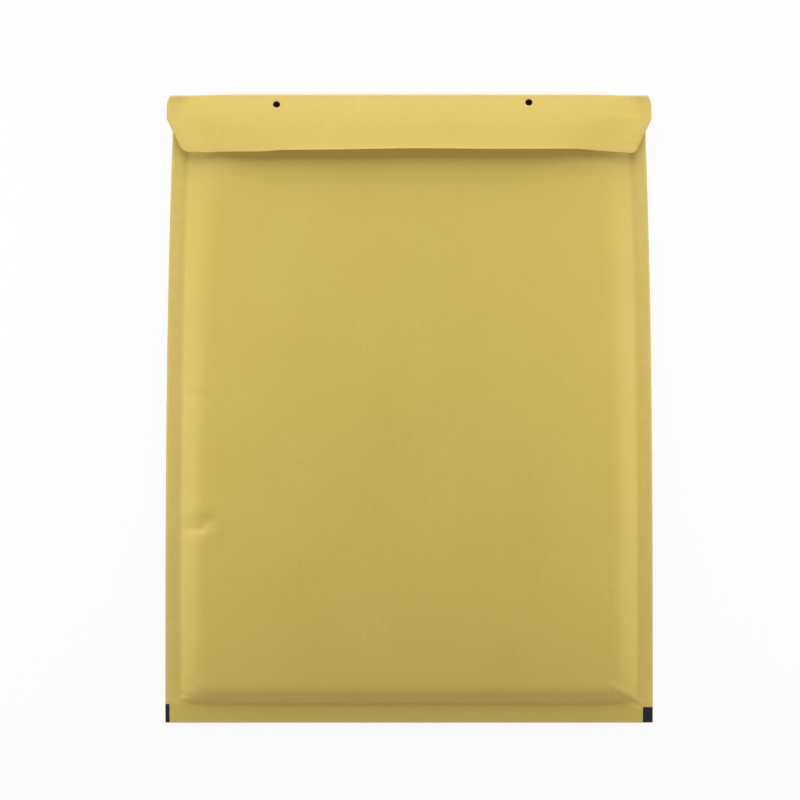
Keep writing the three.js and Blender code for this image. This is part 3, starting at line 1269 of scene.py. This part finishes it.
@dataclass
class BubbleLining:
    """The bag of bubble film: two layers welded at the edges, with their bubbles towards the paper."""

    cover: KraftCover
    finish: FilmFinish = field(default_factory=FilmFinish)
    weld_inset: float = 0.001
    pocket_inset: float = 0.006
    wall_depth: float = 0.0007
    pocket_depth: float = 0.0035
    mouth_gap: float = 0.004
    sheet: float = 0.00014
    pitch: float = 0.011
    bubble_radius: float = 0.0048
    least_bubble: float = 0.0014
    bubble_seat: float = 0.00002
    bubble_segments: tuple[int, int] = (10, 6)
    dome_power: float = 0.75
    shoulder_room: float = 1.4
    bubbles_from_seam: float = 0.006
    slope_step: float = 0.002
    fill: float = 0.5
    columns: int = 56
    rows: int = 76

    @property
    def form(self) -> EnvelopeForm:
        """The form that the lining shares with its cover."""
        return self.cover.form

    def film_height(self, layer: Layer, x: float, y: float) -> float:
        """Height of one layer's smooth film, which gives way under the front's dents.

        Args:
            layer: The layer.
            x: The place across the envelope.
            y: The place along the envelope.

        Returns:
            The height above the table.
        """
        f = self.form
        full = f.fullness(x, y, self.pocket_inset)
        welded = f.seam_height + layer.value * self.sheet
        shift = self.cover.strip_offset(x, y)
        if layer is Layer.BACK:
            return lerp(welded, self.pocket_depth, full) + shift
        pressed = min(self.cover.front_relief(x, y), 0.0)
        return lerp(welded, f.level_height(x, y) - self.pocket_depth, full) + shift + pressed

    def room(self, layer: Layer, x: float, y: float) -> float:
        """The room between one layer's smooth film and the paper.

        Args:
            layer: The layer.
            x: The place across the envelope.
            y: The place along the envelope.

        Returns:
            The distance, with the lining's clearance left out.
        """
        f = self.form
        wall = self.cover.strip_offset(x, y)
        if layer is Layer.FRONT:
            wall += f.front(x, y) + min(self.cover.front_relief(x, y), 0.0) - self.wall_depth
        else:
            wall += f.back(x, y) + self.wall_depth
        return layer.value * (wall - self.film_height(layer, x, y))

    def layer_mesh(self, layer: Layer) -> bmesh.types.BMesh:
        """The smooth film of one layer.

        Args:
            layer: The layer.

        Returns:
            Its mesh, facing the paper.
        """
        f = self.form
        low, high = f.bottom_y + f.bottom_seam + self.weld_inset, f.mouth_y - self.mouth_gap

        def place(column: int, row: int) -> Vector:
            """Places one corner of the film.

            Args:
                column: The column of the corner in the grid.
                row: The row of the corner in the grid.

            Returns:
                The place.
            """
            y = lerp(low, high, row / self.rows)
            across = (2 * column / self.columns - 1) * layer.value
            x = across * (f.half_width_at(y) - f.side_seam - self.weld_inset)
            return Vector((x, y, self.film_height(layer, x, y)))

        return SheetMesh(self.columns, self.rows, place).bm

    def bubble_mesh(self) -> bpy.types.Mesh:
        """One bubble of unit size: a closed dome with a full shoulder.

        Returns:
            Its mesh.
        """
        bm = bmesh.new()
        round_segments, rings = self.bubble_segments
        bmesh.ops.create_uvsphere(bm, u_segments=round_segments, v_segments=rings, radius=1.0)
        parts = [*bm.verts, *bm.edges, *bm.faces]
        cut = bmesh.ops.bisect_plane(bm, geom=parts, plane_co=(0, 0, 0), plane_no=(0, 0, 1), clear_inner=True)
        rim = [item for item in cut["geom_cut"] if isinstance(item, bmesh.types.BMEdge)]
        bmesh.ops.contextual_create(bm, geom=rim)
        for vert in bm.verts:
            vert.co.z = vert.co.z**self.dome_power if vert.co.z > 0 else 0.0
        bmesh.ops.recalc_face_normals(bm, faces=bm.faces)
        mesh = bpy.data.meshes.new("bubble")
        bm.to_mesh(mesh)
        bm.free()
        return mesh

    def bubble_height(self, layer: Layer, x: float, y: float) -> float:
        """How high a bubble can stand at a place and stay under the paper all round its shoulder.

        Args:
            layer: The layer that carries the bubble.
            x: The place across the envelope.
            y: The place along the envelope.

        Returns:
            The height.
        """
        radius = self.bubble_radius
        turns = [math.pi / 4 * step for step in range(8)]
        around = ((x + radius * math.cos(turn), y + radius * math.sin(turn)) for turn in turns)
        shoulder = (self.room(layer, *place) for place in around)
        return min(self.room(layer, x, y), *(room * self.shoulder_room for room in shoulder))

    def bubble_places(self, layer: Layer) -> list[Matrix]:
        """Where each bubble of one layer stands, how it is turned and how large it is.

        Args:
            layer: The layer.

        Returns:
            A matrix for each bubble.
        """
        f = self.form
        places: list[Matrix] = []
        step = self.pitch * math.sqrt(3) / 2
        low = f.bottom_y + f.bottom_seam + self.bubbles_from_seam
        high = f.mouth_y - self.mouth_gap - self.bubble_radius
        for row in range(int((high - low) / step) + 1):
            y = low + row * step
            count = int(f.width / self.pitch)
            for column in range(-count // 2, count // 2 + 1):
                x = (column + 0.5 * (row % 2)) * self.pitch
                height = self.bubble_height(layer, x, y)
                if height < self.least_bubble:
                    continue
                nudge = self.slope_step
                rises = Vector(
                    (
                        self.film_height(layer, x + nudge, y) - self.film_height(layer, x - nudge, y),
                        self.film_height(layer, x, y + nudge) - self.film_height(layer, x, y - nudge),
                    )
                ) / (2 * nudge)
                normal = Vector((-rises.x, -rises.y, 1)) * layer.value
                size = Matrix.Diagonal((self.bubble_radius, self.bubble_radius, height, 1.0))
                turn = normal.to_track_quat("Z", "Y").to_matrix().to_4x4()
                at = Vector((x, y, self.film_height(layer, x, y) + layer.value * self.bubble_seat))
                places.append(Matrix.Translation(at) @ turn @ size)
        return places

    def build(self) -> bpy.types.Object:
        """Makes both layers with their bubbles.

        Returns:
            The lining.
        """
        bag = bmesh.new()
        for layer in Layer:
            film = self.layer_mesh(layer)
            bmesh.ops.solidify(film, geom=list(film.faces), thickness=self.sheet)
            held = bpy.data.meshes.new("film")
            film.to_mesh(held)
            film.free()
            bag.from_mesh(held)
            bpy.data.meshes.remove(held)
        bubble = self.bubble_mesh()
        for layer in Layer:
            for matrix in self.bubble_places(layer):
                placed = bubble.copy()
                placed.transform(matrix)
                bag.from_mesh(placed)
                bpy.data.meshes.remove(placed)
        bpy.data.meshes.remove(bubble)
        lining = finished_piece(bag, "bubble_film_lining")
        dress(lining, self.finish.material(), Slot.FILM, "bubble_lining")
        return lining


@dataclass
class FlapBand:
    """A band on the flap's inner side, between two distances from its fold."""

    cover: KraftCover
    finish: GlueFinish | SiliconeFinish
    name: str
    slot: Slot
    node: str
    span: Span
    end: float
    depth: float
    thickness: float
    edge_wander: float = 0.0
    wander_waves: Span = (14, 3)
    wander_seed: float = 9000
    columns: int = 120
    rows: int = 10

    def build(self) -> bpy.types.Object:
        """Makes the band along the flap's inner side.

        Returns:
            The band.
        """

        def place(column: int, row: int) -> Vector:
            """Places one corner of the band's lower face.

            Args:
                column: The column of the corner in the grid.
                row: The row of the corner in the grid.

            Returns:
                The place.
            """
            across = self.end * (1 - 2 * column / self.columns)
            share = row / self.rows
            waves, seed = self.wander_waves, self.depth * self.wander_seed
            wander = noise.noise(Vector((across * waves[0], share * waves[1], seed))) * self.edge_wander
            edge = wander * (1 if row in (0, self.rows) else 0)
            point = self.cover.flap_place(across, lerp(*self.span, share) + edge)
            point.z -= self.cover.form.paper + self.depth + self.thickness
            return point

        band = SheetMesh(self.columns, self.rows, place).finished(self.name)
        add_wall(band, self.thickness)
        dress(band, self.finish.material(), self.slot, self.node)
        return band


@dataclass
class CuttingMark:
    """A printed mark in a bottom corner, over the place of its CAD node."""

    cover: KraftCover
    finish: InkFinish
    side: Side
    taller: float = 0.0
    lift: float = 0.00003
    thickness: float = 0.00002
    fold_gap: float = 0.0003
    columns: int = 6
    rows: int = 10

    def build(self) -> bpy.types.Object:
        """Makes the ink as a thin skin on the front's flat strip.

        Returns:
            The mark.
        """
        node = f"print_mark_{self.side.name.lower()}"
        low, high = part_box(node)

        def place(column: int, row: int) -> Vector:
            """Places one corner of the mark on the strip.

            Args:
                column: The column of the corner in the grid.
                row: The row of the corner in the grid.

            Returns:
                The place.
            """
            x = lerp(low.x, high.x, column / self.columns)
            y = lerp(low.y + self.fold_gap, high.y + self.taller, row / self.rows)
            top = self.cover.form.front(x, y) + self.cover.strip_offset(x, y)
            return Vector((x, y, top + self.lift))

        mark = SheetMesh(self.columns, self.rows, place).finished(f"cutting_mark_{self.side.name.lower()}")
        add_wall(mark, self.thickness)
        dress(mark, self.finish.material(), Slot.INK, node)
        return mark


@dataclass(frozen=True)
class Softbox:
    """One soft lamp: where it stands, how large it is and how bright."""

    name: str
    place: Colour
    target: Colour
    size: Span
    watts: float

    def build(self) -> None:
        """Adds the lamp to the scene."""
        lamp = bpy.data.lights.new(self.name, "AREA")
        lamp.shape = "RECTANGLE"
        lamp.size, lamp.size_y = self.size
        lamp.energy = self.watts
        stand = bpy.data.objects.new(self.name, lamp)
        stand.location = self.place
        way = Vector(self.target) - Vector(self.place)
        stand.rotation_euler = way.to_track_quat("-Z", "Y").to_euler()
        stand.visible_camera = False
        bpy.context.scene.collection.objects.link(stand)


@dataclass
class Studio:
    """The white ground, the plain soft light and the camera that looks straight down."""

    camera_place: Colour = (-0.0054, 0.0054, 1.4498)
    lens: float = 109.35
    sensor: float = 36.0
    floor_size: float = 12.0
    floor_tone: Colour = (0.86, 0.86, 0.86)
    floor_shade: Colour = (0.84, 0.84, 0.84)
    floor_grain: Colour = (0.05, 0.05, 0.05)
    floor_glow: float = 0.92
    floor_fade: Span = (0.45, 1.1)
    sky: float = 0.02
    lamps: tuple[Softbox, ...] = (
        Softbox("window", (0.0, 0.85, 0.52), (0.0, 0.05, 0.0), (1.4, 1.10), 12.7),
        Softbox("left_fill", (-0.56, 0.0, 0.24), (0.0, 0.0, 0.0), (0.35, 0.20), 1.68),
        Softbox("right_fill", (0.56, 0.0, 0.24), (0.0, 0.0, 0.0), (0.35, 0.20), 1.60),
        Softbox("front_fill", (0.0, -1.10, 0.16), (0.0, 0.10, 0.01), (1.4, 0.24), 4.1),
    )

    def seen_directly(self, graph: ShaderGraph) -> Signal:
        """1 for the rays of the camera, of gloss and of clear film, 0 for the rays of diffuse light.

        Args:
            graph: The nodes that it is added to.

        Returns:
            The share.
        """
        outputs = ("Is Camera Ray", "Is Glossy Ray", "Is Transmission Ray")
        camera, gloss, clear = (graph.node("ShaderNodeLightPath", None, None, name) for name in outputs)
        return graph.math("MINIMUM", camera + gloss + clear, 1.0)

    def build_floor(self) -> None:
        """Makes the pale floor, which reads white and keeps a faint shadow."""
        bm = bmesh.new()
        bmesh.ops.create_grid(bm, x_segments=1, y_segments=1, size=self.floor_size / 2)
        floor = finished_piece(bm, "floor")
        graph = ShaderGraph.of_material("white_ground")
        mottle = graph.cloud(graph.object_place(), self.floor_grain, 2.0)
        tone = graph.blend(mottle * 0.2 + 0.1, self.floor_tone, self.floor_shade)
        matt = graph.node("ShaderNodeBsdfDiffuse", None, {"Color": tone})
        glow = graph.node("ShaderNodeEmission", None, {"Color": (1, 1, 1, 1), "Strength": 1.0})
        away = graph.node("ShaderNodeVectorMath", {"operation": "LENGTH"}, {0: graph.object_place()}, "Value")
        far = graph.ramp(away, *self.floor_fade) * (1 - self.floor_glow)
        share = self.seen_directly(graph) * (far + self.floor_glow)
        mixed = graph.node("ShaderNodeMixShader", None, {0: share, 1: matt, 2: glow})
        graph.node("ShaderNodeOutputMaterial", None, {"Surface": mixed})
        floor.data.materials.append(bpy.data.materials["white_ground"])

    def build_world(self) -> None:
        """Makes an even sky, white where it is seen."""
        world = bpy.data.worlds.new("studio")
        world.use_nodes = True
        bpy.context.scene.world = world
        graph = ShaderGraph(world.node_tree)
        light = graph.node("ShaderNodeBackground", None, {"Color": (1, 1, 1, 1), "Strength": self.sky})
        white = graph.node("ShaderNodeBackground", None, {"Color": (1, 1, 1, 1), "Strength": 1.0})
        mixed = graph.node("ShaderNodeMixShader", None, {0: self.seen_directly(graph), 1: light, 2: white})
        graph.node("ShaderNodeOutputWorld", None, {"Surface": mixed})

    def build_camera(self) -> None:
        """Makes the camera, straight above the envelope with its flap at the top of the picture."""
        camera = bpy.data.cameras.new("camera")
        camera.lens = self.lens
        camera.sensor_width = self.sensor
        stand = bpy.data.objects.new("camera", camera)
        stand.location = self.camera_place
        bpy.context.scene.collection.objects.link(stand)
        bpy.context.scene.camera = stand

    def build(self) -> None:
        """Makes the floor, the light and the camera."""
        bpy.context.scene.view_settings.view_transform = "Standard"
        self.build_floor()
        self.build_world()
        self.build_camera()
        for lamp in self.lamps:
            lamp.build()


def main() -> None:
    """Builds the studio and every piece of the envelope in order."""
    logging.basicConfig(level=logging.INFO, format="%(name)s: %(message)s")
    Studio().build()
    log.info("studio ready")
    form = EnvelopeForm()
    cover = KraftCover(form)
    glue = FlapBand(
        cover,
        GlueFinish(),
        name="glue_band",
        slot=Slot.GLUE,
        node="adhesive_band",
        span=(0.0153, 0.0293),
        end=0.918,
        depth=0.00004,
        thickness=0.00026,
        edge_wander=0.0009,
    )
    strip = FlapBand(
        cover,
        SiliconeFinish(),
        name="peel_off_strip",
        slot=Slot.SILICONE,
        node="release_strip",
        span=(0.0133, 0.0313),
        end=0.932,
        depth=0.00036,
        thickness=0.00014,
    )
    builders = (
        cover,
        BubbleLining(cover),
        glue,
        strip,
        CuttingMark(cover, InkFinish(), Side.LEFT, taller=0.0018),
        CuttingMark(cover, InkFinish(), Side.RIGHT),
    )
    for builder in builders:
        piece = builder.build()
        log.info("%s: %d faces", piece.name, len(piece.data.polygons))


if __name__ == "__main__":
    main()
